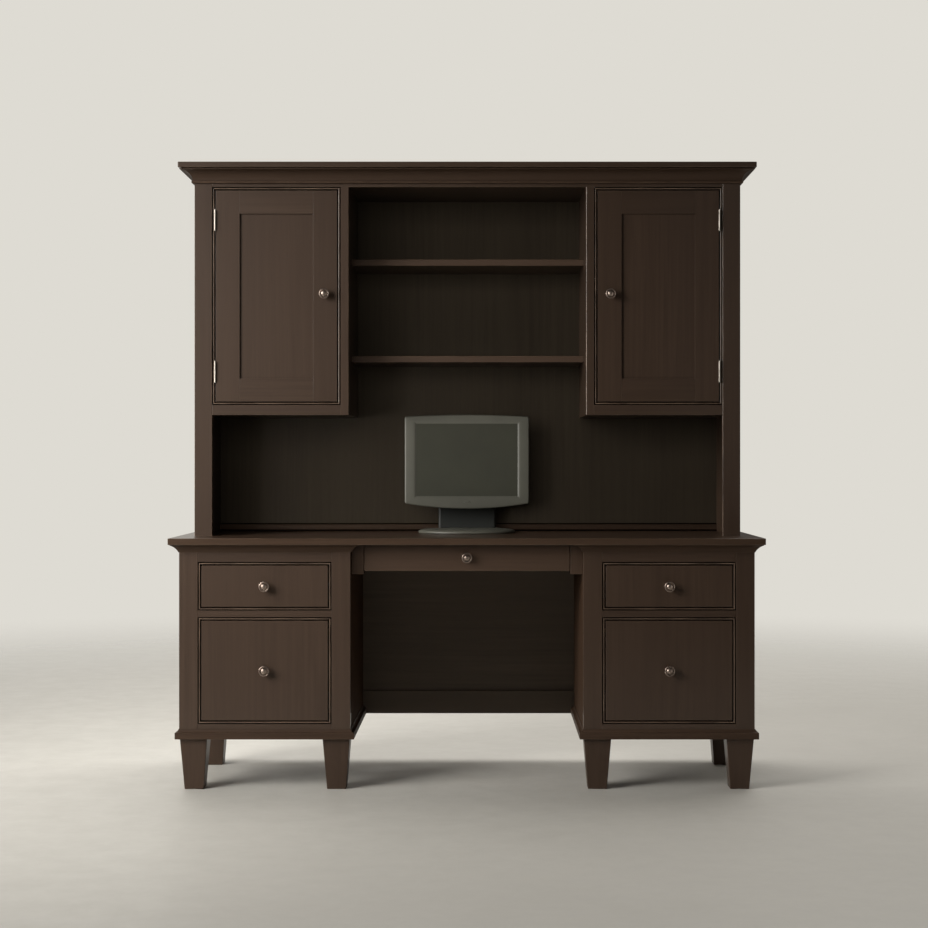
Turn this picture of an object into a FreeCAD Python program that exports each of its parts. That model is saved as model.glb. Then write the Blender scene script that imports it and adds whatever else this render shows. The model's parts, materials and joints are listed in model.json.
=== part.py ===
import FreeCAD, Part
import math, os

V = FreeCAD.Vector
X, Y, Z = V(1, 0, 0), V(0, 1, 0), V(0, 0, 1)

# Double-pedestal desk with a hutch and a flat-panel monitor, in millimetres.
# +Z up, the front faces -Y, the origin is on the floor under the middle of the object.

# ---- driving dimensions: desk ----
TOP_HALF_W, TOP_FRONT, TOP_BACK = 903.5, -312.0, 312.0     # desk top board
TOP_Z0, TOP_Z1 = 746.0, 766.0
PED_IN, PED_OUT = 354.0, 875.0                             # pedestal |X| span
FACE_Y, FRAME_T = -274.0, 22.0                             # pedestal face plane, frame thickness
CARC_Z0, CARC_BACK = 155.0, 300.0                          # carcass underside and back
SIDE_T, BACK_T = 19.0, 8.0
OPEN_IN, OPEN_OUT = 411.5, 818.0                           # drawer opening |X| span
UP_Z0, UP_Z1 = 545.5, 693.0                                # upper drawer opening
LO_Z0, LO_Z1 = 200.5, 525.0                                # lower drawer opening
REVEAL, FRONT_T = 11.0, 20.0                               # front inset from opening edge, front thickness
BEAD_W = 8.0
LEG_TOP, LEG_BOT, LEG_H = 83.0, 58.0, 155.0                # front legs
REAR_TOP, REAR_BOT, REAR_X, REAR_Y = 76.0, 54.0, 835.5, 208.0  # rear legs, a little slighter and in from the back
RAIL_T, RAIL_Z1 = 12.0, 231.0                              # rail along the foot of the knee space
RECESS_Y = -229.0                                          # plane of the centre drawer
CHEEK_IN, CHEEK_Z0 = 316.5, 653.0
# ---- driving dimensions: drawers ----
BOX_IN, BOX_OUT = 432.0, 797.5                             # pedestal drawer box |X| span
BOX_BACK, WALL, FLOOR_T = 230.0, 12.0, 6.0
UP_BOX, LO_BOX = (560.0, 672.0), (215.0, 445.0)            # box heights
UP_SLIDE_Z, LO_SLIDE_Z = 600.0, 262.0                      # slide centre heights
SLIDE_Y0, SLIDE_Y1 = -246.0, 204.0
CEN_HALF, CEN_Z0, CEN_Z1 = 314.5, 663.0, 743.0             # centre drawer front
CEN_BOX_HALF, CEN_BOX_Z0, CEN_BOX_Z1, CEN_BOX_BACK = 295.0, 672.0, 735.0, 190.0
KNOB_X = 614.75
KNOB_UP_Z, KNOB_LO_Z, KNOB_CEN_Z = 619.0, 363.0, 704.0
# ---- driving dimensions: hutch ----
HUT_OUT, HUT_FACE, HUT_BACK = 853.5, -115.0, 298.0
HUT_SIDE_T = 22.0
STILE_IN = 798.0                                           # outer stile inner edge |X|
DIV_IN, DIV_T, DIV_STILE = 371.0, 22.0, 396.5              # divider panel and its stile
DOOR_Z0, DOOR_Z1 = 1175.0, 1857.0                          # door opening
CAB_Z0, CEIL_Z0, CEIL_T = 1144.0, 1869.0, 20.0
CAP_Z0, CAP_Z1, CAP_HALF, CAP_FRONT = 1912.0, 1929.0, 898.5, -161.0
CROWN_Z0 = 1867.0
SHELVES = ((1627.0, 1647.0), (1317.0, 1337.0))
SHELF_FRONT = 35.0
CAB_SHELF = (1480.0, 1498.0)
DOOR_STILE, DOOR_TOP, DOOR_BOT, PANEL_IN, PANEL_T = 75.0, 73.0, 72.0, 6.0, 6.0
DOOR_KNOB_X, DOOR_KNOB_Z = 447.0, 1522.0
HINGE_Z, HINGE_H, BARREL_R, PIN_R = (1279.0, 1753.0), 63.5, 3.0, 1.5
HINGE_X, HINGE_Y = 788.5, -118.5
# ---- driving dimensions: monitor ----
MON_X, MON_FRONT = -3.5, 115.0
MON_HALF, MON_TOP, MON_TOP_EDGE, MON_BOT, MON_BOT_EDGE = 203.0, 1151.0, 1145.0, 845.0, 862.0
SCR_HALF, SCR_Z0, SCR_Z1 = 165.0, 886.0, 1121.5
TILT_Y, TILT_Z = 200.0, 905.0
LIP = 1.8                                                  # depth of the sloped lip round the screen
BASE_RX, BASE_RY, BASE_Y, BASE_H = 158.5, 120.0, 130.0, 14.5
POST_HALF = 95.0

os.makedirs("parts", exist_ok=True)
NODES = {}


def slab(x0, x1, y0, y1, z0, z1):
    return Part.makeBox(x1 - x0, y1 - y0, z1 - z0, V(x0, y0, z0))


def mirrored(shape):
    return shape.mirror(V(0, 0, 0), V(1, 0, 0))


def both(shapes):
    return list(shapes) + [mirrored(s) for s in shapes]


def keep(name, solids):
    out = []
    for s in solids:
        out.extend(s.Solids)
    NODES[name] = out


def sweep(start, segs, org, run, out, up, length, m0=0.0, m1=0.0):
    """Straight moulding: a section in (out, up) along run, with end planes sloped by m0 and m1."""
    pad = 70.0
    spot = lambda p, r: org + run * r + out * p[0] + up * p[1]
    edges, cur, reach = [], start, [start[0]]
    for s in segs:
        if len(s) == 1:
            edges.append(Part.makeLine(spot(cur, -pad), spot(s[0], -pad)))
        else:
            edges.append(Part.Arc(spot(cur, -pad), spot(s[0], -pad), spot(s[1], -pad)).toShape())
        cur = s[-1]
        reach.append(cur[0])
    edges.append(Part.makeLine(spot(cur, -pad), spot(start, -pad)))
    bar = Part.Face(Part.Wire(edges)).extrude(run * (length + 2 * pad))
    o0, o1 = min(reach) - 0.5, max(reach) + 0.5
    plan = [(m0 * o0, o0), (length + m1 * o0, o0), (length + m1 * o1, o1), (m0 * o1, o1)]
    pts = [org + run * r + out * o - up * 200 for r, o in plan]
    prism = Part.Face(Part.makePolygon(pts + [pts[0]])).extrude(up * 400)
    return bar.common(prism).Solids[0]


def bead_frame(x0, x1, z0, z1, yf):
    """Four mitred strips lining an opening: a quirk and a half-round bead standing 1 mm proud."""
    start = (0.0, 3.5)
    segs = [((3.0, 3.5),), ((3.0, 1.5),), ((5.5, -1.0), (8.0, 1.5)), ((8.0, FRAME_T),), ((0.0, FRAME_T),)]
    w, h = x1 - x0, z1 - z0
    return [sweep(start, segs, V(x0, yf, z0), X, Z, Y, w, 1, -1),
            sweep(start, segs, V(x0, yf, z1), X, -Z, Y, w, 1, -1),
            sweep(start, segs, V(x0, yf, z0), Z, X, Y, h, 1, -1),
            sweep(start, segs, V(x1, yf, z0), Z, -X, Y, h, 1, -1)]


def knob(x, yf, z, thick):
    """Round knob on a small rosette, turned about Y, with the screw that holds it from behind."""
    pts = [(0, 0), (11.5, 0), (11.5, 1.8), (10.2, 3.0), (7.2, 3.6), (6.2, 5.0), (5.4, 8.0), (5.8, 10.5), (8.2, 13.0),
           (12.6, 15.0), (15.4, 17.4), (16.1, 20.0), (15.2, 22.8), (12.4, 25.4), (8.4, 27.3), (4.0, 28.3), (0, 28.6)]
    poly = [V(x + r, yf - d, z) for r, d in pts]
    head = Part.Face(Part.makePolygon(poly + [poly[0]])).revolve(V(x, yf, z), Y, 360)
    shank = Part.makeCylinder(2.0, thick + 1.0, V(x, yf - 1.0, z), Y)
    screw = Part.makeCylinder(4.2, 2.3, V(x, yf + thick, z), Y)
    return head.fuse(shank).fuse(screw).removeSplitter()


def bored(shape, x, y0, y1, z, r=2.1):
    return shape.cut(Part.makeCylinder(r, y1 - y0 + 4, V(x, y0 - 2, z), Y))


# ---------------------------------------------------------------- desk carcass
keep("desk_top", [slab(-TOP_HALF_W, TOP_HALF_W, TOP_FRONT, TOP_BACK, TOP_Z0, TOP_Z1)])

FB = FACE_Y + FRAME_T                                      # back of the face frame
battens = []
for zc in (UP_SLIDE_Z, LO_SLIDE_Z):
    battens.append((zc - 30, zc + 30))
outer = [slab(PED_OUT - SIDE_T, PED_OUT, FB, CARC_BACK, CARC_Z0, TOP_Z0)]
inner = [slab(PED_IN, PED_IN + SIDE_T, FB, CARC_BACK, CARC_Z0, TOP_Z0)]
for z0, z1 in battens:
    outer.append(slab(810.0, PED_OUT - SIDE_T, FB + 4, CARC_BACK - 70, z0, z1))
    inner.append(slab(PED_IN + SIDE_T, 419.5, FB + 4, CARC_BACK - 70, z0, z1))
keep("pedestal_outer_sides", both(outer))
keep("pedestal_inner_sides", both(inner))

frame = [slab(OPEN_OUT, PED_OUT, FACE_Y, FB, CARC_Z0, TOP_Z0), slab(PED_IN, OPEN_IN, FACE_Y, FB, CARC_Z0, TOP_Z0)]
for z0, z1 in ((CARC_Z0, LO_Z0), (LO_Z1, UP_Z0), (UP_Z1, TOP_Z0)):
    frame.append(slab(OPEN_IN, OPEN_OUT, FACE_Y, FB, z0, z1))
keep("pedestal_face_frames", both(frame))
keep("pedestal_bottoms", both([slab(PED_IN + SIDE_T, PED_OUT - SIDE_T, FB, CARC_BACK, CARC_Z0, CARC_Z0 + 18)]))
keep("drawer_opening_beads", both(bead_frame(OPEN_IN, OPEN_OUT, UP_Z0, UP_Z1, FACE_Y)
                                  + bead_frame(OPEN_IN, OPEN_OUT, LO_Z0, LO_Z1, FACE_Y)))

# cove moulding under the top: shallow cove and a fillet, mitred round the pedestal's corners
cove_start = (0.0, 0.0)
cove = [((1.5, 0.0),), ((10.9, 13.5), (25.0, 22.0)), ((25.0, 24.0),), ((0.0, 24.0),)]
cz = TOP_Z0 - 24.0
keep("desk_cove_mouldings", both([
    sweep(cove_start, cove, V(PED_IN, FACE_Y, cz), X, -Y, Z, PED_OUT - PED_IN, -1, 1),
    sweep(cove_start, cove, V(PED_OUT, FACE_Y, cz), Y, X, Z, CARC_BACK + BACK_T - FACE_Y, -1, 0),
    sweep(cove_start, cove, V(PED_IN, FACE_Y, cz), Y, -X, Z, RECESS_Y - FACE_Y, -1, 0)]))

# base moulding: square plinth face with a cove on top
base = [((11.5, 0.0),), ((11.5, 20.0),), ((4.43, 22.93), (1.5, 30.0)), ((0.0, 30.0),)]
keep("base_mouldings", both([
    sweep((0.0, 0.0), base, V(PED_IN, FACE_Y, CARC_Z0), X, -Y, Z, PED_OUT - PED_IN, -1, 1),
    sweep((0.0, 0.0), base, V(PED_OUT, FACE_Y, CARC_Z0), Y, X, Z, CARC_BACK + BACK_T - FACE_Y, -1, 0),
    sweep((0.0, 0.0), base, V(PED_IN, FACE_Y, CARC_Z0), Y, -X, Z, CARC_BACK - RAIL_T - FACE_Y, -1, 0)]))


def leg(xc, yc, top=LEG_TOP, bot=LEG_BOT):
    rings = []
    for half, z in ((bot / 2 - 2.0, 0.0), (bot / 2, 2.5), (top / 2, LEG_H)):
        p = [V(xc - half, yc - half, z), V(xc + half, yc - half, z), V(xc + half, yc + half, z), V(xc - half, yc + half, z)]
        rings.append(Part.makePolygon(p + [p[0]]))
    return Part.makeLoft(rings, True, True)


LX_OUT, LX_IN = PED_OUT - 2 - LEG_TOP / 2, PED_IN + 2 + LEG_TOP / 2
LY_F = FACE_Y + 2 + LEG_TOP / 2
keep("legs", both([leg(LX_OUT, LY_F), leg(LX_IN, LY_F), leg(REAR_X, REAR_Y, REAR_TOP, REAR_BOT)]))

keep("desk_back_panel", [slab(-PED_OUT, PED_OUT, CARC_BACK, CARC_BACK + BACK_T, CARC_Z0, TOP_Z0)])
keep("modesty_base_rail", [slab(-PED_IN, PED_IN, CARC_BACK - RAIL_T, CARC_BACK, CARC_Z0, RAIL_Z1)])

# cheeks beside the centre drawer, each with a wooden runner for the groove in the drawer's side
cheek = slab(CHEEK_IN, PED_IN, RECESS_Y, 210.0, CHEEK_Z0, TOP_Z0)
runner = slab(CEN_BOX_HALF - 5.0, CHEEK_IN, RECESS_Y + FRONT_T + 5, 195.0, 697.0, 711.0)
keep("centre_drawer_cheeks", both([cheek, runner]))


def channel(x_web, x_lip, y0, y1, zc, half, t=1.2):
    """Steel slide member: a web and two flanges."""
    s = 1 if x_lip > x_web else -1
    lo, hi = sorted((x_web, x_web + s * t))
    flo, fhi = sorted((x_web, x_lip))
    body = slab(lo, hi, y0, y1, zc - half, zc + half)
    for z in (zc - half, zc + half - t):
        body = body.fuse(slab(flo, fhi, y0, y1, z, z + t))
    return body.removeSplitter()


rails = []
for zc in (UP_SLIDE_Z, LO_SLIDE_Z):
    rails.append(channel(419.5, 428.5, SLIDE_Y0, SLIDE_Y1, zc, 22.5))
    rails.append(channel(810.0, 801.0, SLIDE_Y0, SLIDE_Y1, zc, 22.5))
keep("drawer_slide_rails", both(rails))

# ---------------------------------------------------------------- pedestal drawers
for level, (z0, z1), (b0, b1), kz, sz in (("upper", (UP_Z0, UP_Z1), UP_BOX, KNOB_UP_Z, UP_SLIDE_Z),
                                          ("lower", (LO_Z0, LO_Z1), LO_BOX, KNOB_LO_Z, LO_SLIDE_Z)):
    yb = FACE_Y + FRONT_T                                  # back of the front, start of the box
    front = bored(slab(OPEN_IN + REVEAL, OPEN_OUT - REVEAL, FACE_Y, yb, z0 + REVEAL, z1 - REVEAL),
                  KNOB_X, FACE_Y, yb, kz)
    end = bored(slab(BOX_IN + WALL, BOX_OUT - WALL, yb, yb + WALL, b0, b1), KNOB_X, yb, yb + WALL, kz)
    box = [end,
           slab(BOX_IN + WALL, BOX_OUT - WALL, BOX_BACK - WALL, BOX_BACK, b0, b1),
           slab(BOX_IN, BOX_IN + WALL, yb, BOX_BACK, b0, b1),
           slab(BOX_OUT - WALL, BOX_OUT, yb, BOX_BACK, b0, b1),
           slab(BOX_IN + WALL, BOX_OUT - WALL, yb + WALL, BOX_BACK - WALL, b0 + 10, b0 + 10 + FLOOR_T)]
    members = [channel(BOX_IN, 423.0, SLIDE_Y0, SLIDE_Y1, sz, 18.0),
               channel(BOX_OUT, 806.5, SLIDE_Y0, SLIDE_Y1, sz, 18.0)]
    grip = [knob(KNOB_X, FACE_Y, kz, FRONT_T + WALL)]
    for side, turn in (("right", lambda s: s), ("left", mirrored)):
        keep("%s_%s_drawer_front" % (side, level), [turn(front)])
        keep("%s_%s_drawer_box" % (side, level), [turn(s) for s in box])
        keep("%s_%s_drawer_slides" % (side, level), [turn(s) for s in members])
        keep("%s_%s_drawer_knob" % (side, level), [turn(s) for s in grip])

# ---------------------------------------------------------------- centre drawer
yb = RECESS_Y + FRONT_T
keep("centre_drawer_front", [bored(slab(-CEN_HALF, CEN_HALF, RECESS_Y, yb, CEN_Z0, CEN_Z1), 0, RECESS_Y, yb, KNOB_CEN_Z)])
side = slab(CEN_BOX_HALF - WALL, CEN_BOX_HALF, yb, CEN_BOX_BACK, CEN_BOX_Z0, CEN_BOX_Z1)
side = side.cut(slab(CEN_BOX_HALF - 6, CEN_BOX_HALF + 1, yb - 1, CEN_BOX_BACK + 1, 696.0, 712.0))
inside = CEN_BOX_HALF - WALL
keep("centre_drawer_box", both([side]) + [
    bored(slab(-inside, inside, yb, yb + WALL, CEN_BOX_Z0, CEN_BOX_Z1), 0, yb, yb + WALL, KNOB_CEN_Z),
    slab(-inside, inside, CEN_BOX_BACK - WALL, CEN_BOX_BACK, CEN_BOX_Z0, CEN_BOX_Z1),
    slab(-inside, inside, yb + WALL, CEN_BOX_BACK - WALL, CEN_BOX_Z0 + 5, CEN_BOX_Z0 + 5 + FLOOR_T)])
keep("centre_drawer_knob", [knob(0.0, RECESS_Y, KNOB_CEN_Z, FRONT_T + WALL)])

# ---------------------------------------------------------------- hutch
HB = HUT_FACE + FRAME_T                                    # back of the hutch face frame
SIDE_IN = HUT_OUT - HUT_SIDE_T
PIN_Z = CAB_SHELF[0] - 2.5
PIN_Y = (10.0, 240.0)


def drilled(panel, x0, x1):
    for py in PIN_Y:
        panel = panel.cut(Part.makeCylinder(2.55, x1 - x0, V(x0, py, PIN_Z), X))
    return panel


hutch_side = drilled(slab(SIDE_IN, HUT_OUT, HB, HUT_BACK, TOP_Z1, CAP_Z0), SIDE_IN - 1, SIDE_IN + 10)
divider = drilled(slab(DIV_IN, DIV_IN + DIV_T, HB, HUT_BACK, CAB_Z0, CEIL_Z0), DIV_IN + DIV_T - 10, DIV_IN + DIV_T + 1)
keep("hutch_sides", both([hutch_side]))
keep("hutch_dividers", both([divider]))
keep("hutch_ceiling", [slab(-SIDE_IN, SIDE_IN, HB, HUT_BACK, CEIL_Z0, CEIL_Z0 + CEIL_T)])
keep("hutch_cap_board", [slab(-CAP_HALF, CAP_HALF, CAP_FRONT, HUT_BACK + BACK_T, CAP_Z0, CAP_Z1)])
keep("hutch_back_panel", [slab(-HUT_OUT, HUT_OUT, HUT_BACK, HUT_BACK + BACK_T, TOP_Z1, CAP_Z0)])
keep("hutch_base_strip", [slab(-SIDE_IN, SIDE_IN, HUT_BACK - 10, HUT_BACK, TOP_Z1, TOP_Z1 + 26)])
keep("hutch_face_frame", both([slab(STILE_IN, HUT_OUT, HUT_FACE, HB, TOP_Z1, CAP_Z0),
                               slab(DIV_IN, DIV_STILE, HUT_FACE, HB, CAB_Z0, DOOR_Z1),
                               slab(DIV_STILE, STILE_IN, HUT_FACE, HB, CAB_Z0, DOOR_Z0)])
     + [slab(-STILE_IN, STILE_IN, HUT_FACE, HB, DOOR_Z1, CAP_Z0)])
keep("door_opening_beads", both(bead_frame(DIV_STILE, STILE_IN, DOOR_Z0, DOOR_Z1, HUT_FACE)))
keep("cabinet_bottoms", both([slab(DIV_IN + DIV_T, SIDE_IN, HB, HUT_BACK, CAB_Z0, CAB_Z0 + 20)]))
keep("hutch_shelves", [slab(-DIV_IN, DIV_IN, SHELF_FRONT, HUT_BACK, z0, z1) for z0, z1 in SHELVES]
     + both([slab(DIV_IN + DIV_T + 1, SIDE_IN - 1, -55.0, HUT_BACK - 1, *CAB_SHELF)]))
pegs = []
for py in PIN_Y:
    pegs.append(Part.makeCylinder(2.5, 18.0, V(SIDE_IN - 9, py, PIN_Z), X))
    pegs.append(Part.makeCylinder(2.5, 18.0, V(DIV_IN + DIV_T - 9, py, PIN_Z), X))
keep("shelf_pins", both(pegs))

# crown: small bead, shallow cove and a fillet under the cap board, mitred at the front corners
crown = [((4.0, 0.0),), ((8.5, 4.5), (4.0, 9.0)), ((5.0, 9.0),), ((5.0, 12.0),), ((14.5, 31.0), (36.0, 40.0)),
         ((40.5, 40.0),), ((40.5, CAP_Z0 - CROWN_Z0),), ((0.0, CAP_Z0 - CROWN_Z0),)]
keep("crown_moulding", [
    sweep((0.0, 0.0), crown, V(-HUT_OUT, HUT_FACE, CROWN_Z0), X, -Y, Z, 2 * HUT_OUT, -1, 1)] + both([
        sweep((0.0, 0.0), crown, V(HUT_OUT, HUT_FACE, CROWN_Z0), Y, X, Z, HUT_BACK + BACK_T - HUT_FACE, -1, 0)]))

# magnetic catches on the dividers, their noses just behind the closed doors
catch = slab(DIV_IN + DIV_T, 415.0, HB + 0.5, HB + 23, 1540.0, 1586.0).fuse(
    slab(406.0, 414.0, HB - 1.6, HB + 0.5, 1545.0, 1581.0)).removeSplitter()
keep("door_catches", both([catch]))

# ---------------------------------------------------------------- doors and their butt hinges
DX0, DX1 = DIV_STILE + REVEAL, STILE_IN - REVEAL
DZ0, DZ1 = DOOR_Z0 + REVEAL, DOOR_Z1 - REVEAL
DB = HUT_FACE + FRONT_T
tongue = 8.0
panel = slab(DX0 + DOOR_STILE - tongue, DX1 - DOOR_STILE + tongue, HUT_FACE + PANEL_IN, HUT_FACE + PANEL_IN + PANEL_T,
             DZ0 + DOOR_BOT - tongue, DZ1 - DOOR_TOP + tongue)
door = [bored(slab(DX0, DX0 + DOOR_STILE, HUT_FACE, DB, DZ0, DZ1), DOOR_KNOB_X, HUT_FACE, DB, DOOR_KNOB_Z),
        slab(DX1 - DOOR_STILE, DX1, HUT_FACE, DB, DZ0, DZ1),
        slab(DX0 + DOOR_STILE, DX1 - DOOR_STILE, HUT_FACE, DB, DZ0, DZ0 + DOOR_BOT),
        slab(DX0 + DOOR_STILE, DX1 - DOOR_STILE, HUT_FACE, DB, DZ1 - DOOR_TOP, DZ1)]
door = [d.cut(panel) for d in door]

leaf_front, leaf_back = HINGE_Y + 3.3, -97.0
step, gap = HINGE_H / 5, 0.3


def leaf(zc, plate, knuckles, bore):
    """Hinge leaf: a plate in the gap beside the door and knuckles rolled round the pin."""
    body = slab(plate[0], plate[1], leaf_front, leaf_back, zc - HINGE_H / 2, zc + HINGE_H / 2)
    for k in knuckles:
        z0 = zc - HINGE_H / 2 + k * step + (gap / 2 if k else 0)
        z1 = zc - HINGE_H / 2 + (k + 1) * step - (gap / 2 if k < 4 else 0)
        body = body.fuse(Part.makeCylinder(BARREL_R, z1 - z0, V(HINGE_X, HINGE_Y, z0), Z))
        body = body.fuse(slab(plate[0], plate[1], HINGE_Y, leaf_front, z0, z1))
    body = body.cut(Part.makeCylinder(bore, HINGE_H + 20, V(HINGE_X, HINGE_Y, zc - HINGE_H / 2 - 10), Z))
    return body.removeSplitter()


fixed, moving = [], []
for zc in HINGE_Z:
    fixed.append(leaf(zc, (HINGE_X + 0.3, STILE_IN - BEAD_W), (0, 2, 4), 1.52))
    moving.append(leaf(zc, (DX1, HINGE_X - 0.3), (1, 3), 1.55))
    pin = Part.makeCylinder(PIN_R, HINGE_H, V(HINGE_X, HINGE_Y, zc - HINGE_H / 2), Z)
    for z in (zc + HINGE_H / 2, zc - HINGE_H / 2 - 1.8):
        pin = pin.fuse(Part.makeCylinder(2.4, 1.8, V(HINGE_X, HINGE_Y, z), Z))
    fixed.append(pin.removeSplitter())
keep("hinge_frame_leaves", both(fixed))
pull = [knob(DOOR_KNOB_X, HUT_FACE, DOOR_KNOB_Z, FRONT_T)]
for side, turn in (("right", lambda s: s), ("left", mirrored)):
    keep("%s_door_frame" % side, [turn(s) for s in door])
    keep("%s_door_panel" % side, [turn(panel)])
    keep("%s_door_hinge_leaves" % side, [turn(s) for s in moving])
    keep("%s_door_knob" % side, [turn(s) for s in pull])

# ---------------------------------------------------------------- monitor
M = MON_X


def oval(rx, ry, z):
    return Part.Wire(Part.Ellipse(V(M + rx, BASE_Y, z), V(M, BASE_Y + ry, z), V(M, BASE_Y, z)).toShape())


foot = Part.makeLoft([oval(BASE_RX, BASE_RY, TOP_Z1), oval(BASE_RX, BASE_RY, TOP_Z1 + 8)], True, True).fuse(
    Part.makeLoft([oval(BASE_RX, BASE_RY, TOP_Z1 + 8), oval(BASE_RX - 26.5, BASE_RY - 27.0, TOP_Z1 + BASE_H)], True, True))
keep("monitor_base", [foot])

post = slab(M - POST_HALF, M + POST_HALF, TILT_Y - 12, TILT_Y + 12, TOP_Z1 + BASE_H, 887.0)
post = post.makeFillet(8.0, [e for e in post.Edges if abs(e.Vertexes[0].Z - e.Vertexes[1].Z) > 50])
post = post.fuse(slab(M - 40, M + 40, TILT_Y - 14, TILT_Y + 14, 872.0, TILT_Z))
post = post.fuse(Part.makeCylinder(14.0, 80.0, V(M - 40, TILT_Y, TILT_Z), X))
post = post.cut(Part.makeCylinder(4.02, 100.0, V(M - 50, TILT_Y, TILT_Z), X)).removeSplitter()
tilt_pin = Part.makeCylinder(4.0, 140.0, V(M - 70, TILT_Y, TILT_Z), X)
keep("monitor_column", [post, tilt_pin])

# bezel: straight sides, arched top and a deeper arch below, with a sloped lip round the screen
c = [V(M - MON_HALF, 0, MON_BOT_EDGE), V(M, 0, MON_BOT), V(M + MON_HALF, 0, MON_BOT_EDGE),
     V(M + MON_HALF, 0, MON_TOP_EDGE), V(M, 0, MON_TOP), V(M - MON_HALF, 0, MON_TOP_EDGE)]
wire = Part.Wire([Part.Arc(c[0], c[1], c[2]).toShape(), Part.makeLine(c[2], c[3]),
                  Part.Arc(c[3], c[4], c[5]).toShape(), Part.makeLine(c[5], c[0])])
bezel = Part.Face(wire).extrude(Y * 22)
bezel.translate(V(0, MON_FRONT, 0))
bezel = bezel.makeFillet(7.0, [e for e in bezel.Edges if abs(e.Vertexes[0].Y - e.Vertexes[-1].Y) > 20])


def window(hx, z0, z1, y):
    p = [V(M - hx, y, z0), V(M + hx, y, z0), V(M + hx, y, z1), V(M - hx, y, z1)]
    return Part.makePolygon(p + [p[0]])


over = 5.0 * (LIP + 1.0) / LIP
lip = Part.makeLoft([window(SCR_HALF + over, SCR_Z0 - over, SCR_Z1 + over, MON_FRONT - 1),
                     window(SCR_HALF, SCR_Z0, SCR_Z1, MON_FRONT + LIP)], True, True)
bezel = bezel.cut(lip).cut(slab(M - SCR_HALF, M + SCR_HALF, MON_FRONT, MON_FRONT + 30, SCR_Z0, SCR_Z1))
bezel = bezel.cut(slab(M - SCR_HALF - 5, M + SCR_HALF + 5, MON_FRONT + LIP, MON_FRONT + 30, SCR_Z0 - 5, SCR_Z1 + 5))


def key(half, r, y0, y1, z):
    """Flat key with round ends."""
    k = slab(M - half, M + half, y0, y1, z - r, z + r)
    for s in (-1, 1):
        k = k.fuse(Part.makeCylinder(r, y1 - y0, V(M + s * half, y0, z), Y))
    return k.removeSplitter()


KEY_Z = 867.0
bezel = bezel.cut(key(7.0, 3.3, MON_FRONT - 2, MON_FRONT + 30, KEY_Z))
keep("monitor_bezel", [bezel])
keep("power_button", [key(7.0, 3.0, MON_FRONT - 1.4, MON_FRONT + 12, KEY_Z)])
keep("monitor_screen", [slab(M - SCR_HALF - 4.5, M + SCR_HALF + 4.5, MON_FRONT + LIP, MON_FRONT + 17, SCR_Z0 - 4.5, SCR_Z1 + 4.5)])


def hull(ring):
    return Part.makeLoft([window(h, z0, z1, y) for h, z0, z1, y in ring], True, True)


B0 = MON_FRONT + 22
shell = hull([(199, 866, 1141, B0), (199, 866, 1141, B0 + 10), (152, 884, 1112, B0 + 38)])
shell = shell.cut(hull([(196.5, 868.5, 1138.5, B0 - 1), (196.5, 868.5, 1138.5, B0 + 8), (149.5, 886.5, 1109.5, B0 + 35.5)]))
for x0 in (M + 44, M - 64):                                # two lugs that turn on the tilt pin
    lug = slab(x0, x0 + 20, B0 + 35.6, TILT_Y, TILT_Z - 14, TILT_Z + 14).fuse(
        Part.makeCylinder(14.0, 20.0, V(x0, TILT_Y, TILT_Z), X))
    shell = shell.fuse(lug)
shell = shell.cut(Part.makeCylinder(4.06, 200.0, V(M - 100, TILT_Y, TILT_Z), X))
# socket bay in the back: power inlet and signal socket, each with its own well
bay = slab(M + 74, M + 144, B0 + 24, B0 + 36, 896.0, 924.0)
shell = shell.fuse(bay).cut(slab(M + 76, M + 142, B0 + 26, B0 + 60, 898.0, 922.0))
for x0, x1, z0, z1 in ((80, 104, 901, 919), (108, 138, 905, 915)):
    shell = shell.fuse(slab(M + x0, M + x1, B0 + 25, B0 + 35, z0, z1).cut(
        slab(M + x0 + 1.5, M + x1 - 1.5, B0 + 28, B0 + 40, z0 + 1.5, z1 - 1.5)))
for k in range(9):                                         # vent slots near the top of the back
    shell = shell.cut(slab(M - 100, M + 100, B0 + 30, B0 + 45, 1020.0 + 9 * k, 1023.5 + 9 * k))
keep("monitor_rear_housing", [shell.removeSplitter()])

# ---------------------------------------------------------------- one file per piece
for name, solids in NODES.items():
    shape = solids[0] if len(solids) == 1 else Part.makeCompound(solids)
    bad = [i for i, s in enumerate(solids) if not s.isValid() or s.Volume <= 0]
    print(name, len(solids), "solids", round(shape.Volume / 1000.0, 1), "cm3", "BAD %s" % bad if bad else "")
    shape.exportStep("parts/%s.step" % name)
print(len(NODES), "nodes")
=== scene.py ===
import bpy, bmesh, json, math, random
from mathutils import Matrix, Vector

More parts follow.
